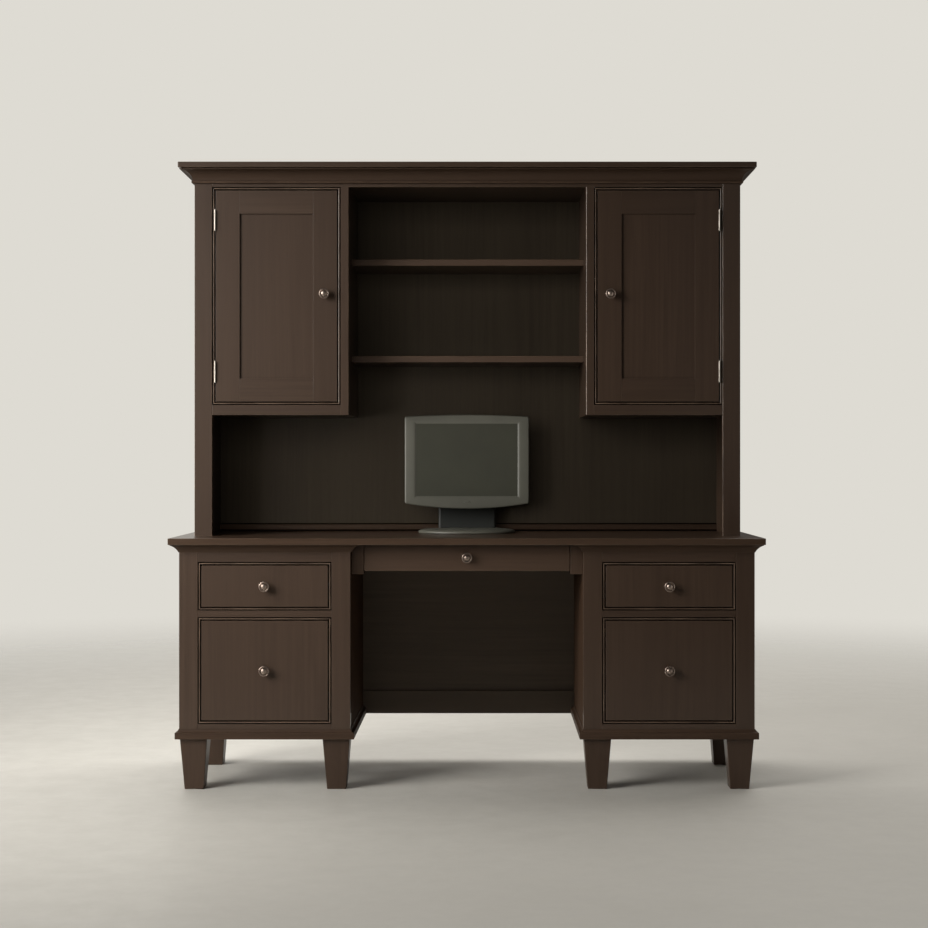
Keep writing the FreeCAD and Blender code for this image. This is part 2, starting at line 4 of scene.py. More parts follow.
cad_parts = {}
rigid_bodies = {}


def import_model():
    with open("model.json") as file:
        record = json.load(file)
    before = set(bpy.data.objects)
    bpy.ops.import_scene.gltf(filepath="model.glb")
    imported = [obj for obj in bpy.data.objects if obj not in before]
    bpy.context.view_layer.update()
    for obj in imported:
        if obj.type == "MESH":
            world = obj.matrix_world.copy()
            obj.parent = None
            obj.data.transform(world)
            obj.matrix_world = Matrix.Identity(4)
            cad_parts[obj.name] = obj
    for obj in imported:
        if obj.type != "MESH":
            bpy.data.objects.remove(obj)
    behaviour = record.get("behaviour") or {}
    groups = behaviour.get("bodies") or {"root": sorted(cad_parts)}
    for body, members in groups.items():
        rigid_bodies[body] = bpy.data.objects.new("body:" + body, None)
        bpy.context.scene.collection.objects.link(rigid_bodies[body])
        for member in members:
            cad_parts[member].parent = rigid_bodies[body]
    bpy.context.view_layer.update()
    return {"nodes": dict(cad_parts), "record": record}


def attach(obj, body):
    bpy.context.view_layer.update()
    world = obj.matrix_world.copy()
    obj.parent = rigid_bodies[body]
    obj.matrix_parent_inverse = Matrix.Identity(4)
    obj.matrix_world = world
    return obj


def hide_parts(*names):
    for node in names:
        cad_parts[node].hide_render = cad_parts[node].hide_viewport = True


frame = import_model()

NODE = frame["nodes"]
BODY = {n: b for b, ns in frame["record"]["behaviour"]["bodies"].items() for n in ns}
SLOT = {s["node"]: s["material_slot"] for s in frame["record"]["subparts"]}
MM = 0.001
scene = bpy.context.scene

# ------------------------------------------------------------------ sizes, as the frame has them (mm)
TOP_HALF_W, TOP_FRONT, TOP_BACK, TOP_Z0, TOP_Z1 = 903.5, -312.0, 312.0, 746.0, 766.0
PED_IN, PED_OUT, FACE_Y, FRAME_T = 354.0, 875.0, -274.0, 22.0
CARC_Z0, CARC_BACK, SIDE_T, BACK_T = 155.0, 300.0, 19.0, 8.0
OPEN_IN, OPEN_OUT, UP_Z0, UP_Z1, LO_Z0, LO_Z1 = 411.5, 818.0, 545.5, 693.0, 200.5, 525.0
REVEAL, FRONT_T = 11.0, 20.0
LEG_TOP, LEG_BOT, LEG_H = 83.0, 58.0, 155.0
REAR_TOP, REAR_BOT, REAR_X, REAR_Y, RAIL_T, RAIL_Z1 = 76.0, 54.0, 835.5, 208.0, 12.0, 231.0
RECESS_Y, CHEEK_IN, CHEEK_Z0 = -229.0, 316.5, 653.0
BOX_IN, BOX_OUT, BOX_BACK, WALL, FLOOR_T = 432.0, 797.5, 230.0, 12.0, 6.0
UP_BOX, LO_BOX, UP_SLIDE_Z, LO_SLIDE_Z = (560.0, 672.0), (215.0, 445.0), 600.0, 262.0
CEN_HALF, CEN_Z0, CEN_Z1 = 314.5, 663.0, 743.0
CEN_BOX_HALF, CEN_BOX_Z0, CEN_BOX_Z1, CEN_BOX_BACK = 295.0, 672.0, 735.0, 190.0
KNOB_X, KNOB_UP_Z, KNOB_LO_Z, KNOB_CEN_Z = 614.75, 619.0, 363.0, 704.0
HUT_OUT, HUT_FACE, HUT_BACK, HUT_SIDE_T = 853.5, -115.0, 298.0, 22.0
STILE_IN, DIV_IN, DIV_T, DIV_STILE = 798.0, 371.0, 22.0, 396.5
DOOR_Z0, DOOR_Z1, CAB_Z0, CEIL_Z0, CEIL_T = 1175.0, 1857.0, 1144.0, 1869.0, 20.0
CAP_Z0, CAP_Z1, CAP_HALF, CAP_FRONT, CROWN_Z0 = 1912.0, 1929.0, 898.5, -161.0, 1867.0
SHELVES, SHELF_FRONT, CAB_SHELF = ((1627.0, 1647.0), (1317.0, 1337.0)), 35.0, (1480.0, 1498.0)
DOOR_STILE, DOOR_TOP, DOOR_BOT, PANEL_IN, PANEL_T = 75.0, 73.0, 72.0, 6.0, 6.0
DOOR_KNOB_X, DOOR_KNOB_Z = 447.0, 1522.0
FB, HB, SIDE_IN = FACE_Y + FRAME_T, HUT_FACE + FRAME_T, HUT_OUT - HUT_SIDE_T
DX0, DX1 = DIV_STILE + REVEAL, STILE_IN - REVEAL
DZ0, DZ1 = DOOR_Z0 + REVEAL, DOOR_Z1 - REVEAL

X, Y, Z = Vector((1, 0, 0)), Vector((0, 1, 0)), Vector((0, 0, 1))
AXES = {"x": (X, Y, Z), "y": (Y, X, Z), "z": (Z, X, Y)}


# ------------------------------------------------------------------ mesh building
class Build:
    """The boards and mouldings of one piece: vertices in mm, faces, and for each vertex its place along and across
    the grain, its edge mark (worn edges, a painted highlight on the frame's edges, painted shade in recesses), and its
    board's tone."""

    def __init__(self, key):
        self.key, self.count = key, 0
        self.v, self.f, self.grain, self.wear, self.tone = [], [], [], [], []

    def add(self, verts, faces, axes, wear, mirror=False):
        rng = random.Random("%s/%d" % (self.key, self.count))
        self.count += 1
        shift = Vector((rng.uniform(-9, 9), rng.uniform(-9, 9), rng.uniform(-9, 9)))
        tone = rng.uniform(-1, 1)
        base = len(self.v)
        for p, w in zip(verts, wear):
            p = Vector(p)
            if mirror:
                p.x = -p.x
            self.v.append(p * MM)
            self.grain.append(Vector((p.dot(axes[0]), p.dot(axes[1]), p.dot(axes[2]))) * MM + shift)
            self.wear.append(w)
            self.tone.append(tone)
        self.f.extend([tuple(base + i for i in f) for f in faces])

    def board(self, x0, x1, y0, y1, z0, z1, grain="x", r=1.2, seg=2, mirror=False):
        """A board with eased edges."""
        bm = bmesh.new()
        bmesh.ops.create_cube(bm, size=1.0)
        for v in bm.verts:
            v.co = Vector(((x0 + x1) / 2 + v.co.x * (x1 - x0), (y0 + y1) / 2 + v.co.y * (y1 - y0),
                           (z0 + z1) / 2 + v.co.z * (z1 - z0)))
        bmesh.ops.bevel(bm, geom=list(bm.edges), offset=r, offset_type="OFFSET", segments=seg, profile=0.5,
                        affect="EDGES", clamp_overlap=True)
        self.take(bm, AXES[grain], ((x0, x1), (y0, y1), (z0, z1)), mirror)

    def take(self, bm, axes, spans, mirror=False):
        bm.verts.index_update()
        verts = [v.co.copy() for v in bm.verts]
        wear = [0.0 if any(min(abs(c - a), abs(c - b)) < 1e-4 for c, (a, b) in zip(p, spans)) else 1.0 for p in verts]
        faces = [tuple(v.index for v in f.verts) for f in bm.faces]
        bm.free()
        self.add(verts, faces, axes, wear, mirror)

    def strip(self, profile, org, run, out, up, length, m0=0.0, m1=0.0, mirror=False, edges=(), dark=()):
        """A moulding: profile points (out, up) carried along run, with mitred ends; its dark points are darkened with
        painted shade and its edge points take the edge colour.
        """
        n = len(profile)
        org = Vector(org)
        verts = [org + run * (m0 * o) + out * o + up * u for o, u in profile]
        verts += [org + run * (length + m1 * o) + out * o + up * u for o, u in profile]
        faces = [(i, (i + 1) % n, n + (i + 1) % n, n + i) for i in range(n)]
        faces += [tuple(reversed(range(n))), tuple(range(n, 2 * n))]
        wear = [1.0 if i in edges else -1.0 if i in dark else 0.0 for i in range(n)] * 2
        self.add(verts, faces, (run, out, up), wear, mirror)


def piece(build, name, node, mat, sharp=38.0, weighted=True):
    me = bpy.data.meshes.new(name)
    me.from_pydata([tuple(p) for p in build.v], [], build.f)
    for key, kind, slot, data in (("grain", "FLOAT_VECTOR", "vector", [c for g in build.grain for c in g]),
                                  ("wear", "FLOAT", "value", build.wear), ("tone", "FLOAT", "value", build.tone)):
        me.attributes.new(key, kind, "POINT").data.foreach_set(slot, data)
    return place(me, name, [node], mat, sharp, weighted)


def place(me, name, nodes, mat, sharp=38.0, weighted=False, body=None, replace=True):
    """Makes a mesh a piece of the object, on the body of the node that it stands for."""
    bm = bmesh.new()
    bm.from_mesh(me)
    bmesh.ops.recalc_face_normals(bm, faces=list(bm.faces))
    bm.to_mesh(me)
    bm.free()
    me.shade_smooth()
    me.set_sharp_from_angle(angle=math.radians(sharp))
    ob = bpy.data.objects.new(name, me)
    scene.collection.objects.link(ob)
    me.materials.append(mat)
    if weighted:
        mod = ob.modifiers.new("weighted", "WEIGHTED_NORMAL")
        mod.keep_sharp = True
        mod.weight = 60
    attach(ob, body or BODY[nodes[0]])
    if replace:
        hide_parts(*nodes)
    return ob


def arc(cx, cy, r, a0, a1, n):
    return [(cx + r * math.cos(math.radians(a0 + (a1 - a0) * i / n)), cy + r * math.sin(math.radians(a0 + (a1 - a0) * i / n)))
            for i in range(n + 1)]


def arc3(p, q, s, n):
    """Points on the circle through p, q and s, from p to s."""
    (ax, ay), (bx, by), (cx, cy) = p, q, s
    d = 2 * (ax * (by - cy) + bx * (cy - ay) + cx * (ay - by))
    ux = ((ax * ax + ay * ay) * (by - cy) + (bx * bx + by * by) * (cy - ay) + (cx * cx + cy * cy) * (ay - by)) / d
    uy = ((ax * ax + ay * ay) * (cx - bx) + (bx * bx + by * by) * (ax - cx) + (cx * cx + cy * cy) * (bx - ax)) / d
    r = math.hypot(ax - ux, ay - uy)
    a0, am, a1 = (math.atan2(y - uy, x - ux) for x, y in (p, q, s))
    turn = lambda a, b: (b - a + math.pi) % (2 * math.pi) - math.pi
    sweep = turn(a0, am) + turn(am, a1)
    return [(ux + r * math.cos(a0 + sweep * i / n), uy + r * math.sin(a0 + sweep * i / n)) for i in range(n + 1)]


# ------------------------------------------------------------------ materials
class Shader:
    """A small helper that adds nodes to a material."""

    def __init__(self, name):
        self.mat = bpy.data.materials.new(name)
        self.mat.use_nodes = True
        self.tree = self.mat.node_tree
        self.bsdf = self.tree.nodes["Principled BSDF"]

    def node(self, kind, ins=None, **props):
        n = self.tree.nodes.new(kind)
        for k, v in props.items():
            setattr(n, k, v)
        for k, v in (ins or {}).items():
            self.put(n.inputs[k], v)
        return n

    def put(self, socket, v):
        if isinstance(v, bpy.types.NodeSocket):
            self.tree.links.new(v, socket)
        else:
            socket.default_value = v

    def math(self, op, a, b=0.0, c=0.0, clamp=False):
        n = self.node("ShaderNodeMath", {0: a, 1: b, 2: c}, operation=op, use_clamp=clamp)
        return n.outputs[0]

    def scaled(self, vec, s):
        return self.node("ShaderNodeVectorMath", {0: vec, 1: s}, operation="MULTIPLY").outputs[0]

    def noise(self, vec, scale=1.0, detail=3.0, rough=0.5, distort=0.0):
        n = self.node("ShaderNodeTexNoise", {"Vector": vec, "Scale": scale, "Detail": detail, "Roughness": rough,
                                             "Distortion": distort})
        return n.outputs[0]

    def span(self, v, a, b, c=0.0, d=1.0):
        n = self.node("ShaderNodeMapRange", {0: v, 1: a, 2: b, 3: c, 4: d})
        return n.outputs[0]

    def mix(self, fac, a, b, blend="MIX"):
        n = self.node("ShaderNodeMix", data_type="RGBA", blend_type=blend)
        for i, v in ((0, fac), (6, a), (7, b)):
            self.put(n.inputs[i], v)
        return n.outputs[2]

    def attribute(self, name, out="Fac"):
        return self.node("ShaderNodeAttribute", attribute_name=name).outputs[out]

    def bump(self, height, strength, distance):
        n = self.node("ShaderNodeBump", {"Height": height, "Strength": strength, "Distance": distance})
        self.put(self.bsdf.inputs["Normal"], n.outputs[0])

    def set(self, **values):
        for k, v in values.items():
            self.put(self.bsdf.inputs[k.replace("_", " ")], v)


def rgb(r, g, b):
    """A colour given as screen values 0 to 255."""
    lin = lambda c: c / 12.92 if c <= 0.04045 else ((c + 0.055) / 1.055) ** 2.4
    return (lin(r / 255), lin(g / 255), lin(b / 255), 1.0)


def make_wood(name, dark, light, edge_wear_highlight, streak=0.70, rough=0.46, coat=0.40, pores=0.22, rings=0.10, broad_=0.44, board=0.05,
              gloss=0.12, spec=0.26):
    s = Shader(name)
    g = s.attribute("grain", "Vector")
    tone, wear = s.attribute("tone"), s.attribute("wear")
    broad = s.noise(s.scaled(g, (0.7, 7.0, 7.0)), 1.0, 3.0, 0.55)
    fibre = s.noise(s.scaled(g, (2.6, 105.0, 105.0)), 1.0, 5.0, 0.62, 0.25)
    fine = s.noise(s.scaled(g, (18.0, 620.0, 620.0)), 1.0, 3.0, 0.6)
    sep = s.node("ShaderNodeSeparateXYZ", {0: g})
    phase = s.math("MULTIPLY_ADD", sep.outputs[1], 150.0, s.math("MULTIPLY", sep.outputs[2], 110.0))
    phase = s.math("MULTIPLY_ADD", broad, 26.0, phase)
    ring = s.math("MULTIPLY_ADD", s.math("SINE", phase), s.span(s.noise(s.scaled(g, (0.5, 3.1, 3.1)), 1.0, 2.0), 0.4, 0.62, 0.02, 0.6), 0.5)
    pore = s.span(fine, 0.60, 0.74)
    v = s.math("MULTIPLY_ADD", s.math("SUBTRACT", broad, 0.5), broad_, 0.5)
    v = s.math("MULTIPLY_ADD", s.math("SUBTRACT", ring, 0.5), rings, v)
    lively = s.span(s.noise(s.scaled(g, (0.8, 5.0, 5.0)), 1.0, 2.0), 0.36, 0.64, 0.35 * streak, 1.25 * streak)
    v = s.math("MULTIPLY_ADD", s.math("SUBTRACT", fibre, 0.5), lively, v)
    v = s.math("MULTIPLY_ADD", tone, board, v)
    v = s.math("MULTIPLY_ADD", pore, -pores, v, clamp=True)
    col = s.mix(v, dark, light)
    # edges marked positive take the edge colour in patches: wear on most woods, and a painted highlight where that
    # colour is much lighter, as on the frame
    rub_and_highlight = s.math("MULTIPLY", wear, s.span(s.noise(s.scaled(g, (14.0, 40.0, 40.0)), 1.0, 3.0), 0.35, 0.7, 0.05, 0.6))
    # painted shade: where the edge mark is negative (quirks, gaps, joint lines) the colour is darkened towards near
    # black, and coat and specular fade there
    painted_shade = s.math("MULTIPLY", wear, -1.0, clamp=True)
    col = s.mix(painted_shade, col, rgb(12, 7, 4))
    s.set(Base_Color=s.mix(s.math("MAXIMUM", rub_and_highlight, 0.0), col, edge_wear_highlight))
    ro = s.math("MULTIPLY_ADD", fibre, 0.12, rough - 0.06)
    ro = s.math("MULTIPLY_ADD", pore, 0.10, ro)
    s.set(Roughness=ro, Coat_Weight=s.math("MULTIPLY_ADD", painted_shade, -coat, coat), Coat_Roughness=gloss, IOR=1.48, Specular_IOR_Level=s.math("MULTIPLY_ADD", painted_shade, -spec, spec))
    h = s.math("MULTIPLY_ADD", pore, -0.8, s.math("MULTIPLY", fibre, 0.6))
    s.bump(h, 0.16, 0.0004)
    return s.mat


def make_metal(name, base, dark, rough, spots=0.35, brushed=None, bump=0.05):
    s = Shader(name)
    pos = s.node("ShaderNodeTexCoord").outputs["Object"]
    patch = s.noise(s.scaled(pos, (55.0, 55.0, 55.0)), 1.0, 4.0, 0.6)
    fine = s.noise(s.scaled(pos, brushed or (900.0, 900.0, 900.0)), 1.0, 3.0, 0.55)
    s.set(Base_Color=s.mix(s.span(patch, 0.38, 0.68, 0.0, spots), base, dark), Metallic=1.0,
          Roughness=s.math("MULTIPLY_ADD", s.math("ADD", patch, fine), 0.14, rough - 0.14))
    s.bump(fine, bump, 0.0002)
    return s.mat


def make_plastic(name, base, shade, rough, grain=1400.0, bump=0.12, ior=1.46):
    s = Shader(name)
    pos = s.node("ShaderNodeTexCoord").outputs["Object"]
    patch = s.noise(s.scaled(pos, (9.0, 9.0, 9.0)), 1.0, 4.0, 0.6)
    tex = s.noise(s.scaled(pos, (grain, grain, grain)), 1.0, 2.0, 0.5)
    s.set(Base_Color=s.mix(s.span(patch, 0.35, 0.7), base, shade),
          Roughness=s.math("MULTIPLY_ADD", tex, 0.10, rough - 0.05), IOR=ior)
    s.bump(tex, bump, 0.0002)
    return s.mat


STAIN = (rgb(50, 37, 28), rgb(78, 61, 49), rgb(104, 85, 70))
WOOD = make_wood("espresso_wood", *STAIN)
# the desk top's stain is a little lighter than the rest of the wood: painted light on its front edge and surface
LIGHTENED_TOP_WOOD = make_wood("espresso_top", rgb(54, 40, 30), rgb(84, 66, 53), rgb(108, 88, 73), rough=0.34, coat=0.35, gloss=0.12, spec=0.2)
LEG_WOOD = make_wood("espresso_leg", *STAIN, rough=0.50, coat=0.2, spec=0.2)
# the frame's edge colour is far lighter than the stain: a painted highlight on its rounded arrises and bead crests
FRAME_WOOD = make_wood("espresso_frame", *STAIN[:2], rgb(150, 126, 106), coat=0.75, gloss=0.15)
BACK_WOOD = make_wood("espresso_back", rgb(51, 44, 36), rgb(79, 70, 58), rgb(102, 88, 74), rough=0.52, coat=0.0)
# a lighter copy of the back panels' stain for the knee panel and rail: painted light in the knee space
LIGHTENED_KNEE_BACK = make_wood("espresso_knee_back", rgb(58, 50, 42), rgb(89, 78, 67), rgb(102, 88, 74), rough=0.52, coat=0.0)
KNEE_WOOD = make_wood("espresso_knee", *STAIN, rough=0.7, coat=0.0, spec=0.01)
MOULD_WOOD = make_wood("espresso_moulding", *STAIN, rough=0.56, coat=0.0, spec=0.14)
BIRCH = make_wood("drawer_birch", rgb(176, 140, 100), rgb(208, 176, 134), rgb(214, 186, 150), 0.5, 0.45, 0.05, 0.15, 0.2, 0.6, 0.08)
PEWTER = make_metal("aged_pewter", rgb(168, 152, 141), rgb(96, 81, 71), 0.38, 0.5)
NICKEL = make_metal("satin_nickel", rgb(190, 182, 172), rgb(150, 141, 130), 0.40, 0.4)
ZINC = make_metal("zinc_steel", rgb(176, 178, 180), rgb(130, 132, 134), 0.36, 0.4, (60.0, 60.0, 1600.0))
GREY = make_plastic("monitor_grey_plastic", rgb(92, 91, 82), rgb(86, 85, 77), 0.46)
DARK = make_plastic("monitor_dark_plastic", rgb(31, 33, 30), rgb(26, 27, 25), 0.5)
CATCH = make_plastic("catch_plastic", rgb(70, 58, 48), rgb(58, 47, 38), 0.5)
SCREEN = make_plastic("screen_film", rgb(65, 65, 56), rgb(62, 62, 54), 0.42, 2600.0, 0.05, 1.32)

# ------------------------------------------------------------------ wood: desk
SIDES = (False, True)                                      # right side, then its mirror image on the left


def wood(node, *boards, mat=None, sharp=38.0):
    b = Build(node)
    for call in boards:
        call(b)
    return piece(b, node + "-wood", node, mat or WOOD, sharp)


def pair(*args, **kw):
    """A board on the right and its mirror image."""
    return lambda b: [b.board(*args, mirror=m, **kw) for m in SIDES]


def one(*args, **kw):
    return lambda b: b.board(*args, **kw)


wood("desk_top", one(-TOP_HALF_W, TOP_HALF_W, TOP_FRONT, TOP_BACK, TOP_Z0, TOP_Z1, r=2.0, seg=4), mat=LIGHTENED_TOP_WOOD)
batten = lambda x0, x1: [pair(x0, x1, FB + 4, CARC_BACK - 70, z - 30, z + 30, grain="y") for z in (UP_SLIDE_Z, LO_SLIDE_Z)]
wood("pedestal_outer_sides", pair(PED_OUT - SIDE_T, PED_OUT, FB, CARC_BACK, CARC_Z0, TOP_Z0, grain="z"),
     *batten(810.0, PED_OUT - SIDE_T))
wood("pedestal_inner_sides", pair(PED_IN, PED_IN + SIDE_T, FB, CARC_BACK, CARC_Z0, TOP_Z0, grain="z"),
     *batten(PED_IN + SIDE_T, 419.5), mat=KNEE_WOOD)
wood("pedestal_face_frames", pair(OPEN_OUT, PED_OUT, FACE_Y, FB, CARC_Z0, TOP_Z0, grain="z", r=1.4),
     pair(PED_IN, OPEN_IN, FACE_Y, FB, CARC_Z0, TOP_Z0, grain="z", r=1.4),
     *[pair(OPEN_IN, OPEN_OUT, FACE_Y, FB, z0, z1, grain="x", r=0.5)
       for z0, z1 in ((CARC_Z0, LO_Z0), (LO_Z1, UP_Z0), (UP_Z1, TOP_Z0))])
wood("pedestal_bottoms", pair(PED_IN + SIDE_T, PED_OUT - SIDE_T, FB, CARC_BACK, CARC_Z0, CARC_Z0 + 18, grain="y"))

# the bead's quirk and the gap beside it carry painted shade; its crest carries the frame's painted highlight
BEAD = ([(0.0, 11.0), (3.4, 11.0), (3.5, 10.9), (3.5, 2.5), (3.5, 0.5)] + arc(4.0, 0.5, 0.5, 180, 270, 3)[1:]
        + arc(5.0, 2.5, 2.5, 270, 360, 8) + [(7.5, 14.0), (8.0, 14.0), (8.0, FRAME_T), (0.0, FRAME_T)])
BEAD_HIGHLIGHT = (6, 7, 8, 9)
BEAD_SHADED = (0, 1, 2, 3, len(BEAD) - 4, len(BEAD) - 3)


def beads(b, x0, x1, z0, z1, yf):
    w, h = x1 - x0, z1 - z0
    for m in SIDES:
        b.strip(BEAD, (x0, yf, z0), X, Z, Y, w, 1, -1, m, BEAD_HIGHLIGHT, BEAD_SHADED)
        b.strip(BEAD, (x0, yf, z1), X, -Z, Y, w, 1, -1, m, BEAD_HIGHLIGHT, BEAD_SHADED)
        b.strip(BEAD, (x0, yf, z0), Z, X, Y, h, 1, -1, m, BEAD_HIGHLIGHT, BEAD_SHADED)
        b.strip(BEAD, (x1, yf, z0), Z, -X, Y, h, 1, -1, m, BEAD_HIGHLIGHT, BEAD_SHADED)


wood("drawer_opening_beads", lambda b: beads(b, OPEN_IN, OPEN_OUT, UP_Z0, UP_Z1, FACE_Y),
     lambda b: beads(b, OPEN_IN, OPEN_OUT, LO_Z0, LO_Z1, FACE_Y), mat=FRAME_WOOD)

COVE = ([(0.0, 0.0), (1.2, 0.0), (1.5, 0.2)] + arc3((1.5, 0.2), (10.9, 13.5), (24.7, 22.0), 16)[1:]
        + [(24.95, 22.15), (25.0, 22.4), (25.0, 24.0), (0.0, 24.0)])
PLINTH = ([(0.0, 0.0), (10.3, 0.0), (11.1, 0.3), (11.5, 1.0), (11.5, 18.8), (11.2, 19.7), (10.4, 20.05)]
          + arc3((10.4, 20.05), (4.43, 22.93), (1.5, 30.0), 10)[1:] + [(0.0, 30.0)])
CROWN = ([(0.0, 0.0), (4.0, 0.0)] + arc(4.0, 4.5, 4.5, -90, 90, 12)[1:] + [(5.0, 9.0), (5.0, 12.0)]
         + arc3((5.0, 12.0), (14.5, 31.0), (36.0, 40.0), 18)[1:]
         + [(39.9, 40.0), (40.35, 40.15), (40.5, 40.6), (40.5, 42.2), (33.0, 42.4), (33.0, CAP_Z0 - CROWN_Z0), (0.0, CAP_Z0 - CROWN_Z0)])


def wrap(b, prof, z, x_in, x_out, yf, y_out, y_in, edges):
    """Mitred strips along a pedestal's front, outer side and inner side."""
    for m in SIDES:
        b.strip(prof, (x_in, yf, z), X, -Y, Z, x_out - x_in, -1, 1, m, edges)
        b.strip(prof, (x_out, yf, z), Y, X, Z, y_out - yf, -1, 0, m, edges)
        b.strip(prof, (x_in, yf, z), Y, -X, Z, y_in - yf, -1, 0, m, edges)


wood("desk_cove_mouldings", lambda b: wrap(b, COVE, TOP_Z0 - 24.0, PED_IN, PED_OUT, FACE_Y, CARC_BACK + BACK_T, RECESS_Y, (2, 19, 20)), mat=MOULD_WOOD)
wood("base_mouldings", lambda b: wrap(b, PLINTH, CARC_Z0, PED_IN, PED_OUT, FACE_Y, CARC_BACK + BACK_T, CARC_BACK - RAIL_T, (2, 5)), mat=MOULD_WOOD)


def crown(b):
    b.strip(CROWN, (-HUT_OUT, HUT_FACE, CROWN_Z0), X, -Y, Z, 2 * HUT_OUT, -1, 1, False, (6, 7))
    for m in SIDES:
        b.strip(CROWN, (HUT_OUT, HUT_FACE, CROWN_Z0), Y, X, Z, HUT_BACK + BACK_T - HUT_FACE, -1, 0, m, (6, 7))


def leg(b, xc, yc, mirror, head=LEG_TOP, foot=LEG_BOT):
    """A square leg tapering to its foot, with eased arrises."""
    bm = bmesh.new()
    rows = []
    for half, z in ((foot / 2, 0.0), (head / 2, LEG_H)):
        rows.append([bm.verts.new((xc + sx * half, yc + sy * half, z)) for sx, sy in ((-1, -1), (1, -1), (1, 1), (-1, 1))])
    lo, hi = rows
    for i in range(4):
        j = (i + 1) % 4
        bm.faces.new((lo[i], lo[j], hi[j], hi[i]))
    bm.faces.new(list(reversed(lo)))
    bm.faces.new(hi)
    top = set(hi)
    cut = [e for e in bm.edges if not (e.verts[0] in top and e.verts[1] in top)]
    bmesh.ops.bevel(bm, geom=cut, offset=2.2, offset_type="OFFSET", segments=3, profile=0.5, affect="EDGES", clamp_overlap=True)
    bm.verts.index_update()
    verts = [v.co.copy() for v in bm.verts]
    faces = [tuple(v.index for v in f.verts) for f in bm.faces]
    big = set(v.index for f in bm.faces if f.calc_area() > 1500 for v in f.verts)
    wear = [0.0 if i in big else 1.0 for i in range(len(verts))]
    bm.free()
    b.add(verts, faces, AXES["z"], wear, mirror)


LX_OUT, LX_IN = PED_OUT - 2 - LEG_TOP / 2, PED_IN + 2 + LEG_TOP / 2
LY_F = FACE_Y + 2 + LEG_TOP / 2
wood("legs", *[(lambda b, a=a, m=m: leg(b, a[0], a[1], m, *a[2:])) for a in
               ((LX_OUT, LY_F), (LX_IN, LY_F), (REAR_X, REAR_Y, REAR_TOP, REAR_BOT)) for m in SIDES], mat=LEG_WOOD)
wood("desk_back_panel", one(-PED_OUT, PED_OUT, CARC_BACK, CARC_BACK + BACK_T, CARC_Z0, TOP_Z0, grain="x", r=0.8), mat=LIGHTENED_KNEE_BACK)
wood("modesty_base_rail", one(-PED_IN, PED_IN, CARC_BACK - RAIL_T, CARC_BACK, CARC_Z0, RAIL_Z1, grain="x", r=1.5), mat=LIGHTENED_KNEE_BACK)
wood("centre_drawer_cheeks", pair(CHEEK_IN, PED_IN, RECESS_Y, 210.0, CHEEK_Z0, TOP_Z0, grain="z", r=1.5),
     pair(CEN_BOX_HALF - 5.0, CHEEK_IN, RECESS_Y + FRONT_T + 5, 195.0, 697.0, 711.0, grain="y", r=1.0))

# ------------------------------------------------------------------ wood: drawers
for level, (z0, z1), (b0, b1) in (("upper", (UP_Z0, UP_Z1), UP_BOX), ("lower", (LO_Z0, LO_Z1), LO_BOX)):
    yb = FACE_Y + FRONT_T
    for side, m in (("right", False), ("left", True)):
        n = "%s_%s_drawer" % (side, level)
        wood(n + "_front", one(OPEN_IN + REVEAL, OPEN_OUT - REVEAL, FACE_Y, yb, z0 + REVEAL, z1 - REVEAL,
                               grain="z", r=1.0, seg=3, mirror=m))
        wood(n + "_box", one(BOX_IN + WALL, BOX_OUT - WALL, yb, yb + WALL, b0, b1, grain="x", mirror=m),
             one(BOX_IN + WALL, BOX_OUT - WALL, BOX_BACK - WALL, BOX_BACK, b0, b1, grain="x", mirror=m),
             one(BOX_IN, BOX_IN + WALL, yb, BOX_BACK, b0, b1, grain="y", mirror=m),
             one(BOX_OUT - WALL, BOX_OUT, yb, BOX_BACK, b0, b1, grain="y", mirror=m),
             one(BOX_IN + WALL, BOX_OUT - WALL, yb + WALL, BOX_BACK - WALL, b0 + 10, b0 + 10 + FLOOR_T, grain="x", r=0.4, mirror=m),
             mat=BIRCH)
yb, inside = RECESS_Y + FRONT_T, CEN_BOX_HALF - WALL
wood("centre_drawer_front", one(-CEN_HALF, CEN_HALF, RECESS_Y, yb, CEN_Z0, CEN_Z1, grain="x", r=1.6, seg=3))


def grooved_side(b, m):
    """A centre drawer side: the groove for the runner is between an upper and a lower board over a thin web."""
    x0, x1 = inside, CEN_BOX_HALF
    prof = [(x0, CEN_BOX_Z0), (x1, CEN_BOX_Z0), (x1, 696.0), (x1 - 6, 696.0), (x1 - 6, 712.0), (x1, 712.0),
            (x1, CEN_BOX_Z1), (x0, CEN_BOX_Z1)]
    b.strip(prof, (0, yb, 0), Y, X, Z, CEN_BOX_BACK - yb, 0, 0, m, ())


wood("centre_drawer_box", lambda b: [grooved_side(b, m) for m in SIDES],
     one(-inside, inside, yb, yb + WALL, CEN_BOX_Z0, CEN_BOX_Z1, grain="x"),
     one(-inside, inside, CEN_BOX_BACK - WALL, CEN_BOX_BACK, CEN_BOX_Z0, CEN_BOX_Z1, grain="x"),
     one(-inside, inside, yb + WALL, CEN_BOX_BACK - WALL, CEN_BOX_Z0 + 5, CEN_BOX_Z0 + 5 + FLOOR_T, grain="x", r=0.4), mat=BIRCH)

